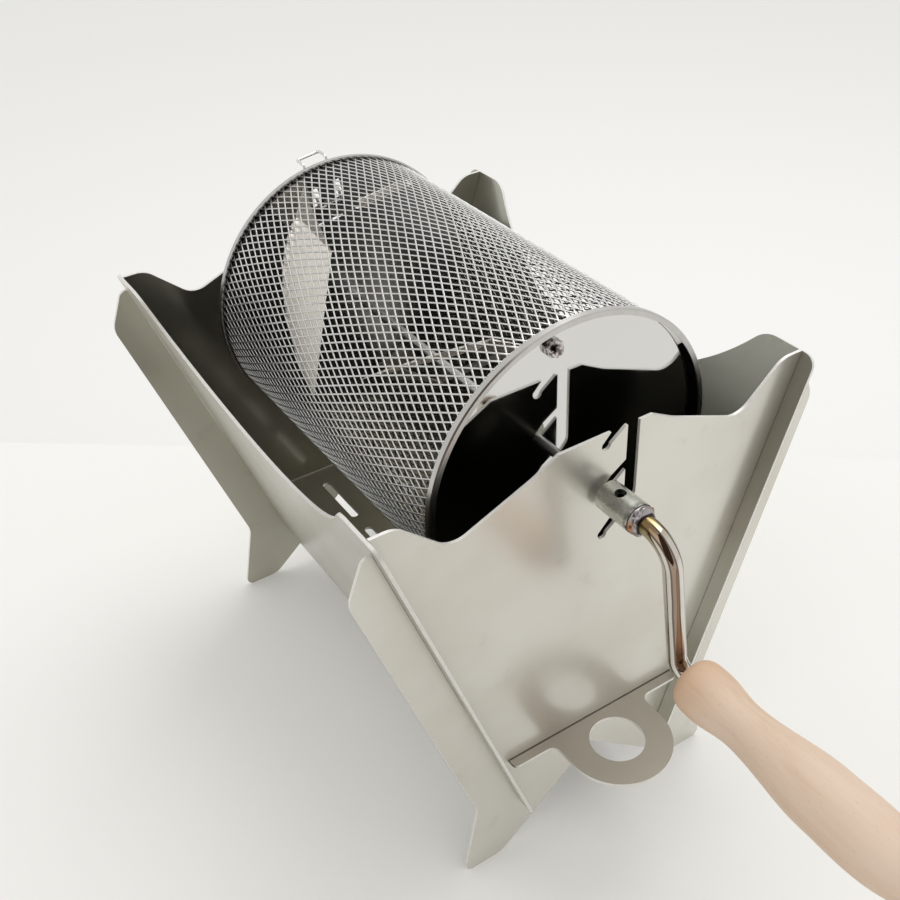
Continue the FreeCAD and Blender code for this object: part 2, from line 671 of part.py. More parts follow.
def rear_collar():
    """Collar on the shaft behind the rear plate: it stops the drum from walking forward."""
    start = COLLAR_FACE
    bore = "shaft_radius + fit_gap"
    collar = tube("rear_collar", start, start + " + collar_length", bore, "collar_radius")
    on_drum(collar, "rear_collar")


def polar(radius, angle, along):
    """Point at a radius and an angle (degrees from local +X towards +Z) round the drum's axis."""
    a = math.radians(angle)
    return V(radius * math.cos(a), along, radius * math.sin(a))


def plate_through(points, thickness):
    """Flat plate, centred on the plane of its corner points."""
    loop = Part.makePolygon(points + points[:1])
    normal = (points[1] - points[0]).cross(points[2] - points[0]).normalize()
    face = Part.Face(loop)
    face.translate(normal * (-thickness / 2))
    return face.extrude(normal * thickness)


def vane(end, sign, face, number, half_turn):
    """Mixing vane: a foot on the disc, a web, and a leaf that sweeps along the mesh.

    face is the disc's inner face and sign the way from it into the drum. The front vanes are
    bolted. The rear ones are spot-welded, because the door flap lies close behind them.
    """
    tin = mm("tin")
    wall = mm(MESH_OUT + " - mesh_gauge - vane_gap")
    deep = {k: mm("%s_%s" % (end, k)) for k in ("leaf_near", "leaf_deep", "tip_deep")}
    start, tip = mm(end + "_leaf_angle"), mm(end + "_tip_angle")
    reach = wall / math.cos(math.radians((tip - start) / 2))

    def spot(radius, angle, depth):
        return polar(radius, angle + half_turn, face + sign * depth)

    outer = spot(wall, start, deep["leaf_near"])
    inner = spot(mm("leaf_inner"), start + mm("leaf_lead"), deep["leaf_deep"])
    point = spot(wall, tip, deep["tip_deep"])
    normal = (inner - outer).cross(point - outer)

    def on_leaf(radius, angle):
        """Point of the leaf's plane above a radius and an angle."""
        p = polar(radius, angle + half_turn, 0)
        along = outer.y - (normal.x * (p.x - outer.x) + normal.z * (p.z - outer.z)) / normal.y
        return V(p.x, along, p.z)

    beyond = [on_leaf(reach, start + (tip - start) * share) for share in (0.9, 0.5, 0.1)]
    leaf = plate_through([outer, inner, point] + beyond, tin)
    root_out = spot(mm("web_radius"), mm("web_angle"), 0)
    root_in = spot(mm("foot_inner"), mm("web_angle") + mm("leaf_lead"), 0)
    web = plate_through([outer, inner, root_in], tin).fuse(plate_through([outer, root_in, root_out], tin))
    foot = Part.makeCylinder(wall, tin, V(0, face, 0), Y_AXIS * sign)
    foot = foot.cut(Part.makeCylinder(mm("foot_inner"), tin, V(0, face, 0), Y_AXIS * sign))
    edges = [spot(2 * wall, mm(k), 0) for k in (end + "_foot_start", "foot_end")]
    wedge = Part.Face(Part.makePolygon([V(0, face, 0)] + edges + [V(0, face, 0)]))
    foot = foot.common(wedge.extrude(Y_AXIS * sign * tin))
    room = Part.makeCylinder(wall, 2 * wall, V(0, face, 0), Y_AXIS * sign)
    shape = foot.fuse([leaf.common(room), web.common(room)])
    if end == "front":
        hole = spot(mm("bolt_circle"), mm("bolt_angle"), 0)
        shape = shape.cut(Part.makeCylinder(mm("bolt_radius + fit_gap"), tin, hole, Y_AXIS * sign))
    name = "%s_vane_%s" % (end, number)
    on_drum(solid_piece(name, shape.removeSplitter()), name)


def vane_fasteners(sign, face):
    """Pan-head bolts from inside the drum, with hexagon nuts on the front disc's outer face."""
    tin = mm("tin")
    outward = Y_AXIS * -sign
    bolts, nuts = [], []
    for half_turn in (0, 180):
        angle = mm("bolt_angle") + half_turn
        seat = polar(mm("bolt_circle"), angle, face + sign * tin)
        head = Part.makeCylinder(mm("bolt_head"), mm("bolt_head_high"), seat, -outward)
        top = max(head.Edges, key=lambda e: sign * e.CenterOfMass.y)
        head = head.makeFillet(mm("bolt_head_high") / 2, [top])
        stem = Part.makeCylinder(mm("bolt_radius"), mm("2 * tin + nut_high + bolt_tail"), seat, outward)
        bolts.append(head.fuse(stem))

        back = polar(mm("bolt_circle"), angle, face - sign * tin)
        corners = [V(0, 0, mm("nut_flats") / math.sqrt(3))]
        turn = FreeCAD.Rotation(Y_AXIS, 60)
        for side in range(6):
            corners.append(turn.multVec(corners[-1]))
        hexagon = Part.Face(Part.makePolygon([back + c for c in corners]))
        nut = hexagon.extrude(outward * mm("nut_high"))
        bore = Part.makeCylinder(mm("bolt_radius + fit_gap"), mm("nut_high"), back, outward)
        nuts.append(nut.cut(bore))
    for kind, group in (("bolts", bolts), ("nuts", nuts)):
        name = "front_vane_" + kind
        on_drum(solid_piece(name, Part.makeCompound(group)), name)


# ---- Door in the rear disc ---------------------------------------------------------------


def hinge_bar(body, name, radius, length, lift=None):
    """Round bar along the hinge axis."""
    sketch = sketch_on(body, name, "YZ_Plane", lift)
    circle(sketch, HINGE_BACK, "hinge_up", radius)
    pad(body, sketch, length)


def rear_door():
    """Flap behind the doorway: a disc segment with one knuckle on the hinge pin.

    Two slots near its top let the latch wire's legs through.
    """
    body = new_body("rear_door")
    middle = "-(%s - tin / 2)" % FLAP_BACK
    flap = sketch_on(body, "flap", "XZ_Plane", middle)
    segment(flap, "door_radius", "door_low", "-sqrt(door_radius^2 - door_low^2) + tin")
    pad(body, flap, "tin")
    slots = sketch_on(body, "wire_slots", "XZ_Plane")
    side = "(wire + slot_side)"
    low, high = "latch_knee - latch_travel - " + side, "latch_knee + slot_rise + " + side
    for leg in ("(latch_side - latch_half)", "(latch_side + latch_half)"):
        rectangle(slots, "%s - %s" % (leg, side), "%s + %s" % (leg, side), low, high)
    cut_through(body, slots)
    hinge_bar(body, "knuckle", "knuckle_radius", "2 * flap_knuckle")
    web = sketch_on(body, "web", "YZ_Plane")
    rectangle(web, FLAP_BACK + " - tin", FLAP_BACK, "hinge_up", "door_low + tin")
    pad(body, web, "2 * flap_knuckle")
    bore = sketch_on(body, "bore", "YZ_Plane")
    circle(bore, HINGE_BACK, "hinge_up", "hinge_pin + hinge_play")
    cut_through(body, bore)
    on_drum(body, "rear_door")


def door_hinge():
    """Hinge leaf riveted to the rear disc, with a knuckle at each end, and its pin."""
    body = new_body("hinge_leaf")
    plate = sketch_on(body, "plate", "XZ_Plane", "-(%s + tin / 2)" % REAR_FACE)
    rectangle(plate, "-hinge_half", "hinge_half", "leaf_low", "leaf_high")
    pad(body, plate, "tin")
    inner = "(flap_knuckle + knuckle_gap)"
    length = "(hinge_half - %s)" % inner
    for side, sign in (("left", "-"), ("right", "")):
        lift = "%s(%s + %s / 2)" % (sign, inner, length)
        hinge_bar(body, side + "_knuckle", "knuckle_radius", length, lift)
        web = sketch_on(body, side + "_web", "YZ_Plane", lift)
        rectangle(web, REAR_FACE, REAR_FACE + " + tin", "leaf_high - tin", "hinge_up")
        pad(body, web, length)
    bore = sketch_on(body, "bore", "YZ_Plane")
    circle(bore, HINGE_BACK, "hinge_up", "hinge_pin + fit_gap")
    cut_through(body, bore)
    on_drum(body, "hinge_leaf")

    pin = new_body("hinge_pin_bar")
    hinge_bar(pin, "bar", "hinge_pin", "2 * hinge_half")
    on_drum(pin, "door_hinge_pin")

    rivets = []
    middle = mm("(leaf_low + leaf_high) / 2")
    for across in (-mm("rivet_side"), 0, mm("rivet_side")):
        seat = V(across, mm(REAR_FACE + " + tin"), middle)
        rivets.append(Part.makeCylinder(mm("rivet_head"), mm("rivet_high"), seat, Y_AXIS))
    on_drum(solid_piece("hinge_rivets", Part.makeCompound(rivets)), "hinge_rivets")


def bent_rod(points, radius, bends):
    """Round rod along straight runs joined by tangent arcs, one bend radius per inner point."""
    pieces = []
    start = points[0]
    for i in range(1, len(points) - 1):
        before = (points[i] - points[i - 1]).normalize()
        after = (points[i + 1] - points[i]).normalize()
        turn = before.getAngle(after)
        trim = bends[i - 1] * math.tan(turn / 2)
        stop = points[i] - before * trim
        pieces.append(Part.makeCylinder(radius, (stop - start).Length, start, before))
        axis = before.cross(after).normalize()
        middle = stop + axis.cross(before) * bends[i - 1]
        ring = Part.Face(Part.Wire(Part.makeCircle(radius, stop, before)))
        pieces.append(ring.revolve(middle, axis, math.degrees(turn)))
        start = points[i] + after * trim
    last = points[-1] - start
    pieces.append(Part.makeCylinder(radius, last.Length, start, last.normalize()))
    return pieces[0].fuse(pieces[1:]).removeSplitter()


def door_latch():
    """Spring wire inside the flap. It passes the flap's slots and ends in a finger loop.

    Its lower bar slides in a strap, so that the loop can be pressed towards the drum's axis.
    """
    middle, half, low = mm("latch_side"), mm("latch_half"), mm("latch_low")
    inside, rim = mm(WIRE_BACK), mm(REAR_RIM)
    behind = rim + mm("latch_back")
    loop = rim + mm("latch_reach")
    side = [
        V(half, inside, low),
        V(half, inside, mm("latch_knee")),
        V(half, behind, mm("latch_knee")),
        V(half, behind, mm("latch_pull")),
        V(half, loop, mm("latch_pull")),
    ]
    other = [V(-p.x, p.y, p.z) for p in reversed(side)]
    route = [V(0, inside, low)] + side + other + [V(0, inside, low)]
    route = [p + V(middle, 0, 0) for p in route]
    spring = bent_rod(route, mm("wire"), [mm("wire_bend")] * 10)
    on_drum(solid_piece("latch_wire", spring), "latch_wire")

    wide, wall = mm("strap_half"), mm("strap_wall")
    room = mm("wire + wire_play")
    face = mm(FLAP_BACK + " - tin")
    travel = mm("latch_travel")
    bottom = low - travel - room
    tall = travel + 2 * room
    corner = V(middle - wide, face - 2 * room - wall, bottom - wall)
    strap = Part.makeBox(2 * wide, 2 * room + wall, tall + 2 * wall, corner)
    upright = [e for e in strap.Edges if e.CenterOfMass.y < corner.y + 0.1 and e.BoundBox.XLength > wide]
    strap = strap.makeFillet(wall / 2, upright)
    tunnel = Part.makeBox(2 * wide, 2 * room, tall, V(middle - wide, face - 2 * room, bottom))
    on_drum(solid_piece("latch_strap", strap.cut(tunnel)), "latch_strap")


# ---- Crank and grip ----------------------------------------------------------------------


def crank_socket():
    """Socket on the shaft's front end, with a threaded hole for its set screw."""
    mouth, end = "-" + SOCKET_MOUTH, "-" + SOCKET_END
    floor = "-(%s + socket_bore)" % SOCKET_MOUTH
    bore = "(shaft_radius + fit_gap)"
    outline = [(mouth, bore), (mouth, "socket_radius"), (end, "socket_radius"), (end, "0")]
    body = turned("crank_socket", outline + [(floor, "0"), (floor, bore)])
    sketch = sketch_on(body, "screw_hole", "XY_Plane")
    circle(sketch, "0", "-(%s + screw_back)" % SOCKET_MOUTH, "screw_radius")
    hole = body.newObject("PartDesign::Pocket", "screw_hole_cut")
    hole.Profile = sketch
    hole.Reversed = True
    before = body.Shape.Volume
    bind(hole, Length="socket_radius")
    doc.recompute()
    if not body.Shape.Volume < before:
        raise RuntimeError("the screw hole cuts nothing")
    on_drum(body, "crank_socket")

    spot = V(0, -mm("%s + screw_back" % SOCKET_MOUTH), mm("shaft_radius + fit_gap"))
    length = mm("socket_radius - screw_sunk") - spot.z
    radius = mm("screw_radius - fit_gap")
    screw = Part.makeCylinder(radius, length, spot, V(0, 0, 1))
    shaft = Part.makeCylinder(mm("shaft_radius"), 4 * radius, spot - V(0, 2 * radius, spot.z), Y_AXIS)
    key = [V(mm("hex_flats") / math.sqrt(3), 0, 0)]
    turn = FreeCAD.Rotation(V(0, 0, 1), 60)
    for side in range(6):
        key.append(turn.multVec(key[-1]))
    top = spot + V(0, 0, length / 2)
    recess = Part.Face(Part.makePolygon([top + k for k in key])).extrude(V(0, 0, length))
    on_drum(solid_piece("set_screw", screw.cut([shaft, recess])), "set_screw")


def crank_rod():
    """Rod welded to the socket, bent down as the arm and out again as the grip's spindle."""
    start, arm = mm(SOCKET_END), mm(ARM_PLANE)
    drop = mm("arm_length")
    end = mm("%s + grip_length - pocket_deep + ring_thick + 2 * grip_gap" % GRIP_START)
    points = [V(0, -start, 0), V(0, -arm, 0), V(0, -arm, -drop), V(0, -end, -drop)]
    radius = mm("rod_radius")
    rod = bent_rod(points, radius, [mm("upper_bend"), mm("lower_bend")])
    on_drum(solid_piece("crank_rod", rod), "crank_rod")

    long, narrow = mm("bead_length"), radius + mm("bead_step")
    bead = Part.makeCone(mm("socket_radius"), narrow, long, V(0, -start, 0), V(0, -1, 0))
    core = Part.makeCylinder(radius, long, V(0, -start, 0), V(0, -1, 0))
    on_drum(solid_piece("weld_bead", bead.cut(core)), "weld_bead")

    ring_start = mm("%s + grip_length - pocket_deep + grip_gap" % GRIP_START)
    place = V(0, -ring_start, -drop)
    thick, hole = mm("ring_thick"), mm("rod_radius + fit_gap")
    ring = Part.makeCylinder(hole + mm("ring_wall"), thick, place, V(0, -1, 0))
    ring = ring.cut(Part.makeCylinder(hole, thick, place, V(0, -1, 0)))
    on_drum(solid_piece("grip_retaining_ring", ring), "grip_retaining_ring")


def wooden_grip():
    """Turned wooden grip that spins on the rod: bulb, neck and belly, pocket in its tail."""
    start, axis = mm(GRIP_START), -mm("arm_length")
    stations = [("0", "grip_mouth"), ("bulb_at", "grip_bulb"), ("neck_at", "grip_neck")]
    stations += [("belly_at", "grip_belly"), ("tail_at", "grip_tail"), ("grip_length", "tail_face")]
    outline = [V(0, -start - mm(a), axis + mm(r)) for a, r in stations]
    level = V(0, -1, 0)
    curve = Part.BSplineCurve()
    slopes = [V(0, -0.2, 1), level, level, level, V(0, -1, -0.25), V(0, -0.1, -1)]
    curve.interpolate(Points=outline, Tangents=slopes, TangentFlags=[True] * 6)
    bore, pocket = axis + mm("rod_radius + grip_play"), axis + mm("pocket_radius")
    end = -start - mm("grip_length")
    shelf = end + mm("pocket_deep")
    inner = [V(0, end, pocket), V(0, shelf, pocket), V(0, shelf, bore), V(0, -start, bore)]
    edges = [curve.toShape()]
    corners = [outline[-1]] + inner + [outline[0]]
    for a, b in zip(corners, corners[1:]):
        edges.append(Part.LineSegment(a, b).toShape())
    face = Part.Face(Part.Wire(edges))
    grip = face.revolve(V(0, 0, axis), Y_AXIS, 360)
    on_drum(solid_piece("wooden_grip", grip), "wooden_grip")


end_plate("front_end_plate", "-(stand_half - sheet / 2)")
end_plate("rear_end_plate", "stand_half - sheet / 2")
side_wall("right_side_wall", "")
side_wall("left_side_wall", "-")
floor_plate()

drum_shaft()
drum_mesh()
rear_collar()
for end, sign, rim in (("front", "-", FRONT_RIM), ("rear", "", REAR_RIM)):
    drum_shell(end, sign, rim)
    inward = -1 if end == "rear" else 1
    inner_face = -inward * mm("%s - recess - tin" % rim)
    for number, half_turn in (("upper", 0), ("lower", 180)):
        vane(end, inward, inner_face, number, half_turn)
    if end == "front":
        vane_fasteners(inward, inner_face)
rear_door()
door_hinge()
door_latch()
crank_socket()
crank_rod()
wooden_grip()

doc.recompute()
for thing in doc.Objects:
    if "Invalid" in thing.State or "Error" in thing.State:
        raise RuntimeError("%s failed: %s" % (thing.Name, thing.State))
for piece in PARTS:
    if piece.Shape.isNull() or not piece.Shape.isValid() or not piece.Shape.Solids:
        raise RuntimeError(piece.Label + " has no valid solid")
for piece in PARTS:
    piece.Shape.exportStep("parts/%s.step" % piece.Label)
print(len(PARTS), "pieces")
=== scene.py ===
import math

import bpy
import numpy as np
from mathutils import Matrix, Vector


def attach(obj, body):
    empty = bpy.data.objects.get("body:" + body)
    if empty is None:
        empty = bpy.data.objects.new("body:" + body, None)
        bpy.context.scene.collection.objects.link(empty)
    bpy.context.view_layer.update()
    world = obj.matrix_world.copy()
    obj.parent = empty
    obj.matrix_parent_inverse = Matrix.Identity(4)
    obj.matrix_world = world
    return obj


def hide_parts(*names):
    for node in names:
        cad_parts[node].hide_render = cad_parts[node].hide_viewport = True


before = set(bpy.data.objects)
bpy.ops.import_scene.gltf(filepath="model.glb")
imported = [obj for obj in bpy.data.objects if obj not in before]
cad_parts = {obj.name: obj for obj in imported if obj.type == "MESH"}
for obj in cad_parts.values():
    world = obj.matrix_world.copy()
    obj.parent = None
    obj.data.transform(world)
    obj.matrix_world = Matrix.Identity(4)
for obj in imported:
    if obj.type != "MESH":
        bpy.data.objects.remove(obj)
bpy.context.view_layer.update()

# ---- Camera ------------------------------------------------------------------------------
# A phone camera held by hand, looking down over the left front corner of the roaster. Its roll
# is small. The view is square, so the lens alone sets how much of the table it takes in.


def placed(name, data):
    """New object that carries the data, linked to the scene."""
    thing = bpy.data.objects.new(name, data)
    bpy.context.scene.collection.objects.link(thing)
    return thing


swing, tilt, roll = (math.radians(angle) for angle in (-31.506, 36.237, -2.631))
aim = Vector((-0.0546, -0.0950, 0.2283))
camera_distance = 0.4584
sideways = math.cos(tilt)
back = Vector((math.sin(swing) * sideways, -math.cos(swing) * sideways, math.sin(tilt)))
level = (-back).cross(Vector((0, 0, 1))).normalized()
upward = level.cross(-back)
right = math.cos(roll) * level + math.sin(roll) * upward
top = right.cross(-back)
camera_data = bpy.data.cameras.new("camera")
camera_data.lens = 46.13
camera_data.sensor_width = 36
camera_data.clip_start = 0.02
camera_data.clip_end = 40
camera = placed("camera", camera_data)
axes = Matrix((right, top, back)).transposed().to_4x4()
camera.matrix_world = Matrix.Translation(aim + back * camera_distance) @ axes
bpy.context.scene.camera = camera
bpy.context.scene.view_settings.view_transform = "Standard"

# ---- Table, floor and light ----------------------------------------------------------------
# A white table whose back edge runs across the view, a white floor lower down behind it, and
# soft light from wide windows above and to the left. None of it belongs to the roaster.


def plain_mesh(name, points, faces, smooth=False):
    """Object made of the given points and faces, with its place in its mesh."""
    mesh = bpy.data.meshes.new(name)
    mesh.from_pydata(np.asarray(points, float).tolist(), [], [list(map(int, f)) for f in faces])
    mesh.validate()
    if smooth:
        mesh.shade_smooth()
    return placed(name, mesh)


def box(middle, half):
    """Corner points and faces of an upright box, from its middle and half sizes."""
    corners = np.array([[x, y, z] for x in (-1, 1) for y in (-1, 1) for z in (-1, 1)])
    faces = [(0, 1, 3, 2), (4, 6, 7, 5), (0, 4, 5, 1), (2, 3, 7, 6), (0, 2, 6, 4), (1, 5, 7, 3)]
    return np.array(middle) + corners * half, faces


def put(tree, kind, inputs=None, **settings):
    """Add a node, set its properties, and set or link its input sockets by name or number."""
    node = tree.nodes.new(kind)
    for key, value in settings.items():
        setattr(node, key, value)
    for key, value in (inputs or {}).items():
        socket = node.inputs[key]
        if isinstance(value, bpy.types.NodeSocket):
            tree.links.new(value, socket)
        else:
            socket.default_value = value
    return node


def math_node(tree, operation, first, second=0.0, third=0.0):
    values = {0: first, 1: second, 2: third}
    return put(tree, "ShaderNodeMath", values, operation=operation).outputs[0]


def rgb(red, green, blue):
    return (red, green, blue, 1.0)


def new_material(name):
    """Material with an empty node tree, and the tree."""
    material = bpy.data.materials.new(name)
    material.use_nodes = True
    material.node_tree.nodes.clear()
    return material, material.node_tree


def studio_paint(name, colour, seen):
    """Matt paint. The camera and metal see it a little brighter than the lamps make it."""
    material, tree = new_material(name)
    matt = put(tree, "ShaderNodeBsdfDiffuse", {"Color": rgb(*colour)})
    glow = put(tree, "ShaderNodeEmission", {"Color": rgb(1, 1, 0.985), "Strength": seen})
    none = put(tree, "ShaderNodeEmission", {"Strength": 0.0})
    rays = put(tree, "ShaderNodeLightPath").outputs
    either = math_node(tree, "MAXIMUM", rays["Is Camera Ray"], rays["Is Glossy Ray"])
    choice = {0: either, 1: none.outputs[0], 2: glow.outputs[0]}
    pick = put(tree, "ShaderNodeMixShader", choice)
    both = put(tree, "ShaderNodeAddShader", {0: matt.outputs[0], 1: pick.outputs[0]})
    put(tree, "ShaderNodeOutputMaterial", {"Surface": both.outputs[0]})
    return material


reach = 6.0
edge_left = np.array([-0.163, 0.379])
edge_right = np.array([0.360, -0.027])
along = (edge_right - edge_left) / np.linalg.norm(edge_right - edge_left)
inward = np.array([along[1], -along[0]])
middle = (edge_left + edge_right) / 2
far_a, far_b = middle - along * reach, middle + along * reach
near_a, near_b = far_a + inward * reach, far_b + inward * reach
table_points = [[*corner_shade, 0] for corner_shade in (far_a, near_a, near_b, far_b)]
table = plain_mesh("table_top", table_points, [(0, 1, 2, 3)])
table.data.materials.append(studio_paint("white_table", (0.775, 0.77, 0.75), seen=0.10))

floor_height = -0.35
beyond_a, beyond_b = far_a - inward * reach, far_b - inward * reach
floor_points = [[*corner_shade, floor_height] for corner_shade in (near_a, near_b, beyond_b, beyond_a)]
floor = plain_mesh("white_floor", floor_points, [(0, 1, 2, 3)])
floor.data.materials.append(studio_paint("white_floor", (0.78, 0.78, 0.765), seen=0.15))

person_distance = 0.95
person_half = (0.30, 0.24, 0.75)
photographer = plain_mesh("photographer", *box(aim + back * person_distance, person_half))
photographer.visible_camera = False
photographer.visible_diffuse = False
photographer.visible_shadow = False
photographer.data.materials.append(studio_paint("dark_shirt", (0.10, 0.07, 0.06), seen=0.0))

world = bpy.data.worlds.new("room")
bpy.context.scene.world = world
world.use_nodes = True
world.node_tree.nodes.clear()
daylight = {"Color": rgb(1.0, 0.99, 0.97), "Strength": 0.80}
sky = put(world.node_tree, "ShaderNodeBackground", daylight)
put(world.node_tree, "ShaderNodeOutputWorld", {"Surface": sky.outputs[0]})


def window(name, place, aimed, size, power):
    """Square area lamp at a place, turned towards a point."""
    data = bpy.data.lights.new(name, "AREA")
    data.shape = "SQUARE"
    data.size = size
    data.energy = power
    lamp = placed(name, data)
    lamp.location = place
    lamp.rotation_euler = (Vector(aimed) - Vector(place)).to_track_quat("-Z", "Y").to_euler()


window("window_above", place=(0.7, 0.3, 1.7), aimed=(0, 0, 0.1), size=1.4, power=12)
window("window_left", place=(-1.6, -0.2, 1.2), aimed=(0, 0, 0.15), size=1.2, power=2.5)

# ---- Stand of slotted sheets -----------------------------------------------------------------
# Two end plates, two leaning side walls and the loose floor plate, laser cut from stainless
# sheet and slotted together. The outside keeps a soft mill finish. The inside is smoother.
# Painted shade makes the inner faces of the front plate and left wall nearly black, and the
# left wall's outer face a little darker than the other plates.


def group(name, inputs, outputs):
    """New shader node group with its input and output nodes."""
    tree = bpy.data.node_groups.new(name, "ShaderNodeTree")
    for way, sockets in (("INPUT", inputs), ("OUTPUT", outputs)):
        for label, kind in sockets:
            tree.interface.new_socket(name=label, in_out=way, socket_type="NodeSocket" + kind)
    return tree, tree.nodes.new("NodeGroupInput"), tree.nodes.new("NodeGroupOutput")


def dot(tree, first, second):
    node = put(tree, "ShaderNodeVectorMath", {0: first, 1: second}, operation="DOT_PRODUCT")
    return node.outputs["Value"]


def fade(tree, value, low, high):
    """Smooth step from 0 at low to 1 at high."""
    values = {"Value": value, "From Min": low, "From Max": high}
    node = put(tree, "ShaderNodeMapRange", values, interpolation_type="SMOOTHSTEP")
    return node.outputs["Result"]


def blend_colour(tree, share, first, second, kind="MIX"):
    """First colour where share is 0 and second where it is 1."""
    values = {0: share, 6: first, 7: second}
    node = put(tree, "ShaderNodeMix", values, data_type="RGBA", blend_type=kind)
    return node.outputs[2]


def stain(tree, share, base, tint):
    """Base colour, multiplied by the tint as far as share says."""
    return blend_colour(tree, share, base, tint, "MULTIPLY")


def noise(tree, vector, scale, detail=2.0, roughness=0.5):
    values = {"Vector": vector, "Scale": scale, "Detail": detail, "Roughness": roughness}
    return put(tree, "ShaderNodeTexNoise", values).outputs["Fac"]


def stretched(tree, vector, scale):
    """The vector, stretched along the axes."""
    return put(tree, "ShaderNodeMapping", {"Vector": vector, "Scale": scale}).outputs[0]


def spots(tree, vector, scale, core, rim):
    """1 inside small round spots at random places, and the random colour of each one's cell."""
    values = {"Vector": vector, "Scale": scale, "Randomness": 1.0}
    cells = put(tree, "ShaderNodeTexVoronoi", values)
    outside = fade(tree, cells.outputs["Distance"], core, rim)
    return math_node(tree, "SUBTRACT", 1.0, outside), cells.outputs["Color"]


def bumps(tree, height, strength, distance):
    values = {"Height": height, "Strength": strength, "Distance": distance}
    return put(tree, "ShaderNodeBump", values).outputs[0]


def mill_sheet():
    """Node group of the sheet metal: faint clouds, smudges, rare dark specks and a fine grain.

    Inside is the direction in which a sheet's inner face looks. That face is the smoothest,
    and cut edges are the roughest. Their pale colour is partly their own cut finish and partly
    painted highlight.
    """
    tree, given, made = group(
        "mill_sheet",
        [("Inside", "Vector"), ("Outer Colour", "Color"), ("Inner Colour", "Color")],
        [("Colour", "Color"), ("Roughness", "Float"), ("Normal", "Vector")],
    )
    outer, inner = given.outputs["Outer Colour"], given.outputs["Inner Colour"]
    spot = tree.nodes.new("ShaderNodeTexCoord")
    where = spot.outputs["Object"]
    facing = dot(tree, spot.outputs["Normal"], given.outputs["Inside"])
    inside = fade(tree, facing, 0.4, 0.6)
    flat = fade(tree, math_node(tree, "ABSOLUTE", facing), 0.5, 0.7)
    cloud = noise(tree, where, 14, 3, 0.55)

    base = blend_colour(tree, inside, outer, inner)
    base = stain(tree, fade(tree, cloud, 0.35, 0.75), base, rgb(0.93, 0.92, 0.90))
    smudge = fade(tree, noise(tree, where, 55, 4, 0.6), 0.58, 0.80)
    smudge = math_node(tree, "MULTIPLY", smudge, 0.5)
    base = stain(tree, smudge, base, rgb(0.80, 0.78, 0.75))
    speck, cell = spots(tree, where, 26.0, core=0.015, rim=0.05)
    chance = put(tree, "ShaderNodeSeparateColor", {0: cell}).outputs[0]
    speck = math_node(tree, "MULTIPLY", speck, fade(tree, chance, 0.80, 0.82))
    speck = math_node(tree, "MULTIPLY", speck, 0.55)
    base = stain(tree, speck, base, rgb(0.45, 0.43, 0.38))
    burr = noise(tree, where, 900, 2)
    # Pale cut edges: partly their own finish, partly painted highlight.
    cut_edge_and_highlight = blend_colour(tree, burr, rgb(0.80, 0.79, 0.76), rgb(0.95, 0.94, 0.92))
    tree.links.new(blend_colour(tree, flat, cut_edge_and_highlight, base), made.inputs["Colour"])

    rough = math_node(tree, "MULTIPLY_ADD", inside, -0.07, 0.20)
    rough = math_node(tree, "MULTIPLY_ADD", cloud, 0.08, rough)
    cut = math_node(tree, "SUBTRACT", 1.0, flat)
    rough = math_node(tree, "MULTIPLY_ADD", cut, 0.2, rough)
    tree.links.new(rough, made.inputs["Roughness"])

    grain = noise(tree, stretched(tree, where, (900, 900, 40)), 1, 2)
    relief = math_node(tree, "MULTIPLY_ADD", cloud, 6.0, grain)
    tree.links.new(bumps(tree, relief, 0.15, 0.00002), made.inputs["Normal"])
    return tree


def hazy_metal(name, finish, haze, values):
    """Metal whose colour, roughness and normal come from a node group with these values.

    Half of the reflection is hazy: the same metal with its roughness times haze.
    """
    material, tree = new_material(name)
    node = put(tree, "ShaderNodeGroup", node_tree=finish)
    for key, value in values.items():
        node.inputs[key].default_value = value
    colour, rough, normal = (node.outputs[key] for key in ("Colour", "Roughness", "Normal"))
    sockets = {"Metallic": 1.0, "Base Color": colour, "Roughness": rough, "Normal": normal}
    clear = put(tree, "ShaderNodeBsdfPrincipled", sockets)
    sockets["Roughness"] = math_node(tree, "MULTIPLY", rough, haze)
    hazy = put(tree, "ShaderNodeBsdfPrincipled", sockets)
    both = put(tree, "ShaderNodeMixShader", {0: 0.5, 1: clear.outputs[0], 2: hazy.outputs[0]})
    put(tree, "ShaderNodeOutputMaterial", {"Surface": both.outputs[0]})
    return material


def dress(material, *nodes):
    """Give CAD nodes a material, in every slot that they have."""
    for name in nodes:
        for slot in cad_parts[name].material_slots:
            slot.link = "OBJECT"
            slot.material = material


sheet_haze = 2.3
wall_spread, wall_rise = 56, 163  # of a side wall, in millimetres, from the floor plate up
lean = math.atan(wall_spread / wall_rise)
towards_right = (math.cos(lean), 0, math.sin(lean))
towards_left = (-math.cos(lean), 0, math.sin(lean))
outside = rgb(0.735, 0.72, 0.67)
# Painted shade: near black inner colours on the front plate and left wall, and a darker outer
# colour on the left wall than on the other plates.
sheets = {
    "front_end_plate": ((0, 1, 0), outside, rgb(0.10, 0.095, 0.08)),
    "rear_end_plate": ((0, -1, 0), outside, rgb(0.56, 0.545, 0.47)),
    "right_side_wall": (towards_left, outside, rgb(0.55, 0.55, 0.485)),
    "left_side_wall": (towards_right, rgb(0.62, 0.61, 0.555), rgb(0.14, 0.13, 0.10)),
    "floor_plate": ((0, 0, 1), outside, rgb(0.53, 0.50, 0.44)),
}
sheet_finish = mill_sheet()
for node, (way, outer_colour_and_shade, inner_colour_and_shade) in sheets.items():
    values = {"Inside": way, "Outer Colour": outer_colour_and_shade, "Inner Colour": inner_colour_and_shade}
    dress(hazy_metal(node + "_steel", sheet_finish, sheet_haze, values), node)

# ---- Drum wall of diamond mesh ---------------------------------------------------------------
# Flattened stainless mesh with diamonds twice as long along the drum as they are wide. It is
# rolled into a tube and clamped under the rim hoops.

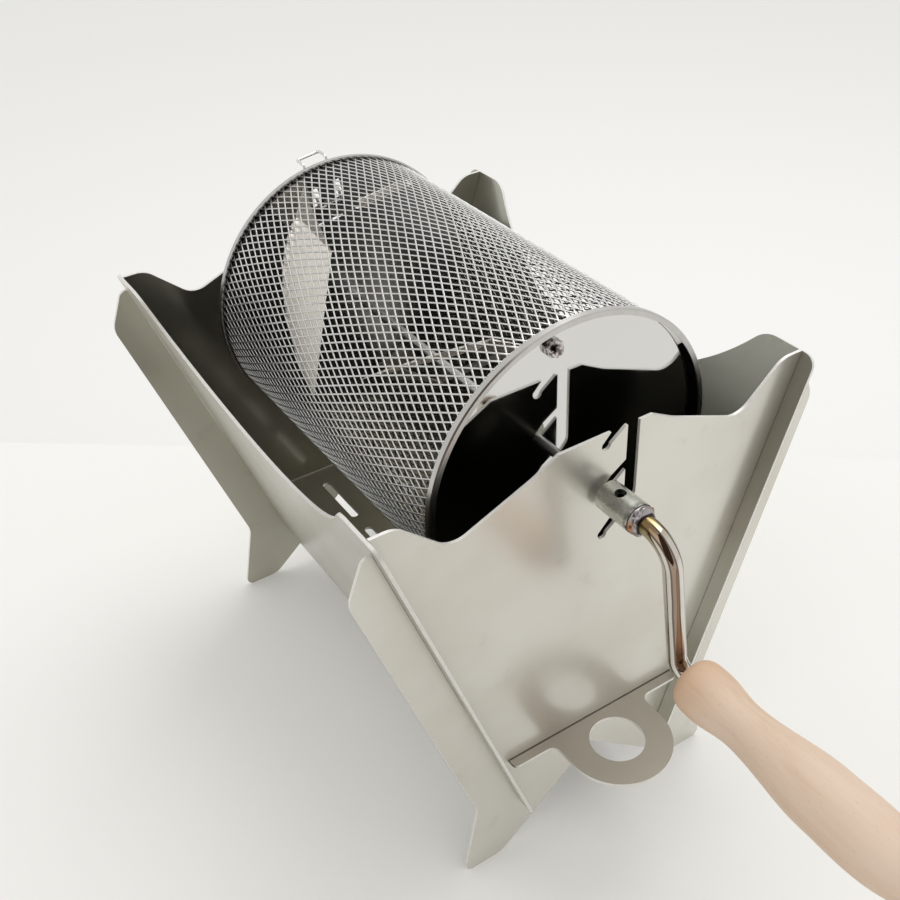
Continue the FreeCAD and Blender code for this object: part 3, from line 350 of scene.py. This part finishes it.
axis_height = 0.202
drum_turn = math.radians(8.25)


def drum_to_row(points):
    """Turn points given in the drum's own frame into the row frame: lift and turn about +Y."""
    x, y, z = points[..., 0], points[..., 1], points[..., 2]
    c, s = math.cos(drum_turn), math.sin(drum_turn)
    return np.stack([x * c - z * s, y, axis_height + x * s + z * c], -1)


def mesh_tube(name, radius, start, end, strands, slope, wide, high, steps=26, sides=8):
    """Tube of two crossing sets of flat helical strands.

    A strand of a set winds with angle = 2 pi i / strands + hand * slope * distance / radius.
    Its section is a rounded bar, cos and sin to the power 0.6, wide in the tube's surface.
    """
    strand, step, side = np.meshgrid(
        np.arange(strands), np.arange(steps + 1), np.arange(sides), indexing="ij"
    )
    distance = step * (end - start) / steps
    around = 2 * math.pi * (side + 0.5) / sides
    across = np.sign(np.cos(around)) * np.abs(np.cos(around)) ** 0.6 * wide / 2
    out = radius + np.sign(np.sin(around)) * np.abs(np.sin(around)) ** 0.6 * high / 2
    length = math.hypot(1, slope)
    points, faces = [], []
    for hand in (1, -1):
        winding = hand * slope * distance + across / length
        theta = 2 * math.pi * strand / strands + winding / radius
        y = start + distance - hand * across * slope / length
        grid = np.stack([out * np.cos(theta), np.clip(y, start, end), out * np.sin(theta)], -1)
        index = np.arange(strand.size).reshape(strand.shape) + len(points) * strand.size
        a, b = index[:, :-1], index[:, 1:]
        quads = np.stack([a, np.roll(a, -1, 2), np.roll(b, -1, 2), b], -1).reshape(-1, 4).tolist()
        faces += quads + index[:, 0, ::-1].tolist() + index[:, -1].tolist()
        points.append(grid.reshape(-1, 3))
    return plain_mesh(name, drum_to_row(np.concatenate(points)), faces, smooth=True)


cloth = mesh_tube(
    "diamond_mesh",
    radius=0.0716,
    start=-0.1048,
    end=0.0954,
    strands=106,
    slope=0.509,
    wide=0.0008,
    high=0.0006,
)
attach(cloth, "drum")
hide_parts("drum_mesh")


def metal(name, colour, roughness, normal=None):
    """Bare metal. Colour, roughness and normal may each be a function of the node tree."""
    material, tree = new_material(name)
    shader = put(tree, "ShaderNodeBsdfPrincipled", {"Metallic": 1.0})
    for socket, value in (("Base Color", colour), ("Roughness", roughness), ("Normal", normal)):
        if callable(value):
            tree.links.new(value(tree), shader.inputs[socket])
        elif value is not None:
            shader.inputs[socket].default_value = value
    put(tree, "ShaderNodeOutputMaterial", {"Surface": shader.outputs[0]})
    return material


def vector_node(tree, operation, first, second=(0, 0, 0)):
    node = put(tree, "ShaderNodeVectorMath", {0: first, 1: second}, operation=operation)
    return node.outputs[0]


def mottled(tree, vector, scale, detail, first, second):
    """Colour that wanders between two colours."""
    return blend_colour(tree, noise(tree, vector, scale, detail), first, second)


def strand_tone_and_shade(tree):
    """Bright grey outside. The side towards the drum's axis is painted near black: painted shade
    of the drum's inside.
    """
    spot = tree.nodes.new("ShaderNodeTexCoord")
    where = spot.outputs["Object"]
    offset = vector_node(tree, "SUBTRACT", where, (0, 0, axis_height))
    ray = vector_node(tree, "MULTIPLY", offset, (1, 0, 1))
    outward = dot(tree, spot.outputs["Normal"], vector_node(tree, "NORMALIZE", ray))
    bright = mottled(tree, where, 60, 2, rgb(0.56, 0.56, 0.545), rgb(0.76, 0.76, 0.74))
    # Painted shade on the strands' inner side.
    return blend_colour(tree, fade(tree, outward, -0.25, 0.15), rgb(0.10, 0.10, 0.095), bright)


cloth.data.materials.append(metal("mesh_strands", strand_tone_and_shade, 0.34))

# ---- Discs and hoops -------------------------------------------------------------------------
# Each end of the drum has a mirror polished disc, set back in a rolled hoop of softly bright
# strip. The rear disc carries the door. The discs' faces inside the drum are rougher, and their
# colour is darker as painted shade of the drum's inside.


def object_point(tree):
    return tree.nodes.new("ShaderNodeTexCoord").outputs["Object"]


def along_drum(tree, vector):
    """The vector's part along the drum, which is its Y."""
    return put(tree, "ShaderNodeSeparateXYZ", {0: vector}).outputs["Y"]


def facing_inward(tree):
    """1 on faces that look into the drum, 0 on faces that look out of its ends."""
    spot = tree.nodes.new("ShaderNodeTexCoord")
    way = along_drum(tree, spot.outputs["Normal"])
    end = math_node(tree, "SIGN", along_drum(tree, spot.outputs["Object"]))
    return fade(tree, math_node(tree, "MULTIPLY", way, end), -0.2, -0.6)


def polish_rough(tree):
    cloud = fade(tree, noise(tree, object_point(tree), 40, 4, 0.6), 0.45, 0.8)
    rough = math_node(tree, "MULTIPLY_ADD", cloud, 0.05, 0.035)
    return math_node(tree, "MULTIPLY_ADD", facing_inward(tree), 0.25, rough)


def polish_normal(tree):
    return bumps(tree, noise(tree, object_point(tree), 16, 1), 0.2, 0.0004)


def polish_tone_and_shade(tree):
    """Mirror bright towards both ends of the roaster, and painted darker on the faces inside the
    drum: painted shade.
    """
    # Painted shade: the faces inside the drum are darker.
    return blend_colour(tree, facing_inward(tree), rgb(0.69, 0.69, 0.68), rgb(0.24, 0.24, 0.235))


mirror_sheet = metal("polished_sheet", polish_tone_and_shade, polish_rough, polish_normal)
dress(mirror_sheet, "front_disc", "rear_disc", "rear_door")


def strip_tone(tree):
    where = object_point(tree)
    return mottled(tree, where, 180, 3, rgb(0.50, 0.49, 0.47), rgb(0.64, 0.63, 0.61))


dress(metal("hoop_strip", strip_tone, 0.28), "front_hoop", "rear_hoop")

# ---- Vanes and fasteners -----------------------------------------------------------------------
# Four vanes of thin folded satin sheet. Zinc plated bolts and nuts hold the front pair. With them
# go the plain steel shaft, hubs, collar and hinge pin, and the sprung latch.


def satin_tone(tree):
    where = object_point(tree)
    return mottled(tree, where, 90, 3, rgb(0.70, 0.66, 0.60), rgb(0.80, 0.76, 0.69))


satin_sheet = metal("satin_sheet", satin_tone, 0.40)
dress(satin_sheet, "front_vane_upper", "front_vane_lower", "rear_vane_upper", "rear_vane_lower")
dress(satin_sheet, "hinge_leaf")


def zinc_tone(tree):
    """Bright zinc, with dark patches where the plating has dulled."""
    bright = fade(tree, noise(tree, object_point(tree), 520, 2), 0.40, 0.58)
    return blend_colour(tree, bright, rgb(0.13, 0.12, 0.12), rgb(0.62, 0.57, 0.57))


bright_zinc = metal("bright_zinc", zinc_tone, 0.16)
dress(bright_zinc, "front_vane_bolts", "front_vane_nuts", "hinge_rivets", "grip_retaining_ring")
dress(metal("black_oxide", rgb(0.02, 0.02, 0.02), 0.4), "set_screw")
drawn_rod = metal("drawn_rod", rgb(0.72, 0.72, 0.70), 0.34)
dress(drawn_rod, "drum_shaft", "front_hub", "rear_hub", "rear_collar", "door_hinge_pin")
dress(metal("spring_wire", rgb(0.78, 0.78, 0.76), 0.25), "latch_wire", "latch_strap")

# ---- Crank -------------------------------------------------------------------------------------
# A dull galvanised socket on the shaft, and a polished rod welded to it. The weld is a lumpy
# collar, and its heat has left a straw tint on the rod beside it.

socket_end = -0.148
bead_length = 0.0046
bead_radius = 0.0067
rod_radius = 0.0043
bead_step = 0.0003


def galvanised(tree):
    """Grey zinc with finer pale streaks along the socket, darker next to the weld."""
    where = object_point(tree)
    patch = fade(tree, noise(tree, stretched(tree, where, (300, 120, 300)), 1, 4, 0.6), 0.35, 0.7)
    zinc = blend_colour(tree, patch, rgb(0.50, 0.515, 0.465), rgb(0.68, 0.695, 0.635))
    burnt = fade(tree, along_drum(tree, where), socket_end + 0.003, socket_end + 0.0005)
    ragged = fade(tree, noise(tree, where, 300, 3), 0.35, 0.65)
    burnt = math_node(tree, "MULTIPLY", burnt, ragged)
    return blend_colour(tree, burnt, zinc, rgb(0.10, 0.09, 0.10))


def galvanised_rough(tree):
    grain = noise(tree, object_point(tree), 300, 3)
    return math_node(tree, "MULTIPLY_ADD", grain, 0.15, 0.20)


dress(metal("galvanised", galvanised, galvanised_rough), "crank_socket")


def weld_collar(name, start, length, wide, narrow, rings=28, sides=96):
    """Lumpy collar of weld metal round the rod.

    The radius falls from wide to narrow as the square of the way along, and swells by
    9 percent in drops: sin(3 a + 1.1) * sin(2 pi t + a) and a finer 0.6 sin(7 a - 5 t).
    """
    steps = np.linspace(0, 1, rings)
    angles = np.arange(sides) * 2 * math.pi / sides
    way, turn = np.meshgrid(steps, angles, indexing="ij")
    drops = np.sin(3 * turn + 1.1) * np.sin(2 * math.pi * way + turn)
    drops = drops + 0.6 * np.sin(7 * turn - 5 * way)
    swell = 1 + 0.09 * drops * np.sin(math.pi * way) ** 0.7
    radius = (narrow + (wide - narrow) * (1 - way**2)) * swell
    shell = np.stack([radius * np.cos(turn), start - way * length, radius * np.sin(turn)], -1)
    index = np.arange(rings * sides).reshape(rings, sides)
    a, b = index[:-1], index[1:]
    quads = np.stack([a, b, np.roll(b, -1, 1), np.roll(a, -1, 1)], -1).reshape(-1, 4).tolist()
    faces = quads + [index[0].tolist(), index[-1, ::-1].tolist()]
    return plain_mesh(name, drum_to_row(shell.reshape(-1, 3)), faces, smooth=True)


bead = weld_collar("weld_collar", socket_end, bead_length, bead_radius, rod_radius + bead_step)
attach(bead, "drum")
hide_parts("weld_bead")


def stripe(tree, value, middle, half, soft=0.00025):
    """1 where the value lies within half of middle, with soft edges."""
    off = math_node(tree, "ABSOLUTE", math_node(tree, "SUBTRACT", value, middle))
    return fade(tree, off, half + soft, half)


def weld_tone(tree):
    """Lilac grey bead with rusty spots, painted black in the corners at both of its ends: painted
    shade.
    """
    where = object_point(tree)
    lilac = mottled(tree, where, 420, 3, rgb(0.26, 0.24, 0.25), rgb(0.56, 0.53, 0.53))
    rusty = fade(tree, noise(tree, where, 170, 1), 0.50, 0.66)
    bead_colour = blend_colour(tree, rusty, lilac, rgb(0.40, 0.22, 0.13))
    place = along_drum(tree, where)
    near = stripe(tree, place, socket_end, 0.0002)
    far = stripe(tree, place, socket_end - bead_length, 0.0005)
    # Painted shade in the corners at both ends of the bead.
    corner_shade = math_node(tree, "MAXIMUM", near, far)
    return blend_colour(tree, corner_shade, bead_colour, rgb(0.05, 0.04, 0.04))


def weld_rough(tree):
    grain = noise(tree, object_point(tree), 500, 2)
    return math_node(tree, "MULTIPLY_ADD", grain, 0.3, 0.16)


bead.data.materials.append(metal("weld_metal", weld_tone, weld_rough))


def rod_tone_and_reflections(tree):
    """Bright steel with a painted reflection along the whole bent rod, a brown band and thin dark
    lines, tinted by the weld's heat.

    The rod lies in one plane, so the distance from that plane is the same all along a line.
    A straw band and an olive brown one lie within two centimetres of the weld.
    """
    where = object_point(tree)
    beside = (math.cos(drum_turn), 0, math.sin(drum_turn))
    plane = axis_height * math.sin(drum_turn)
    across = math_node(tree, "SUBTRACT", dot(tree, where, beside), plane)
    across = math_node(tree, "MULTIPLY_ADD", noise(tree, where, 45, 2), 0.0006, across)
    steel = mottled(tree, where, 90, 2, rgb(0.60, 0.56, 0.51), rgb(0.74, 0.71, 0.66))
    # Painted reflections: a brown band and thin dark lines along the rod.
    band = math_node(tree, "MULTIPLY", stripe(tree, across, -0.0018, 0.0010), 0.85)
    steel_and_reflections = blend_colour(tree, band, steel, rgb(0.30, 0.205, 0.145))
    lines = stripe(tree, across, -0.0030, 0.0001)
    for middle, half in ((-0.0004, 0.0002), (0.0027, 0.0003)):
        lines = math_node(tree, "MAXIMUM", lines, stripe(tree, across, middle, half))
    lines = math_node(tree, "MULTIPLY", lines, 0.85)
    steel_and_reflections = blend_colour(tree, lines, steel_and_reflections, rgb(0.08, 0.06, 0.05))
    place = along_drum(tree, where)
    wavy = math_node(tree, "MULTIPLY_ADD", noise(tree, where, 200, 2), 0.004, place)
    straw = fade(tree, wavy, socket_end - 0.018, socket_end - 0.004)
    brown = fade(tree, wavy, socket_end - 0.006, socket_end - 0.002)
    tinted = stain(tree, straw, steel_and_reflections, rgb(0.62, 0.53, 0.30))
    return blend_colour(tree, brown, tinted, rgb(0.20, 0.15, 0.06))


dress(metal("polished_rod", rod_tone_and_reflections, 0.06), "crank_rod")

# ---- Grip --------------------------------------------------------------------------------------
# Turned from pale hardwood and left raw: fine long fibres, short dark pores, and a warmer tone at
# the mouth, where the end grain begins.

wood, tree = new_material("raw_hardwood")
where = object_point(tree)
fibre = noise(tree, stretched(tree, where, (700, 22, 700)), 1, 4, 0.6)
tone = noise(tree, stretched(tree, where, (60, 12, 60)), 1, 2)
fibred = fade(tree, fibre, 0.3, 0.75)
colour = blend_colour(tree, fibred, rgb(0.70, 0.53, 0.40), rgb(0.62, 0.45, 0.32))
colour = blend_colour(tree, fade(tree, tone, 0.3, 0.7), colour, rgb(0.72, 0.57, 0.45))
warm_from, warm_to = -0.205, -0.172
warm = fade(tree, along_drum(tree, where), warm_from, warm_to)
warm = math_node(tree, "MULTIPLY", warm, 0.75)
colour = blend_colour(tree, warm, colour, rgb(0.66, 0.42, 0.26))
pore = spots(tree, stretched(tree, where, (900, 160, 900)), 1.0, core=0.05, rim=0.16)[0]
pore = math_node(tree, "MULTIPLY", pore, 0.35)
colour = blend_colour(tree, pore, colour, rgb(0.36, 0.22, 0.13))
grooves = bumps(tree, fibre, 0.3, 0.00008)
raw = {"Base Color": colour, "Roughness": 0.6, "Normal": grooves}
shader = put(tree, "ShaderNodeBsdfPrincipled", raw)
put(tree, "ShaderNodeOutputMaterial", {"Surface": shader.outputs[0]})
dress(wood, "wooden_grip")
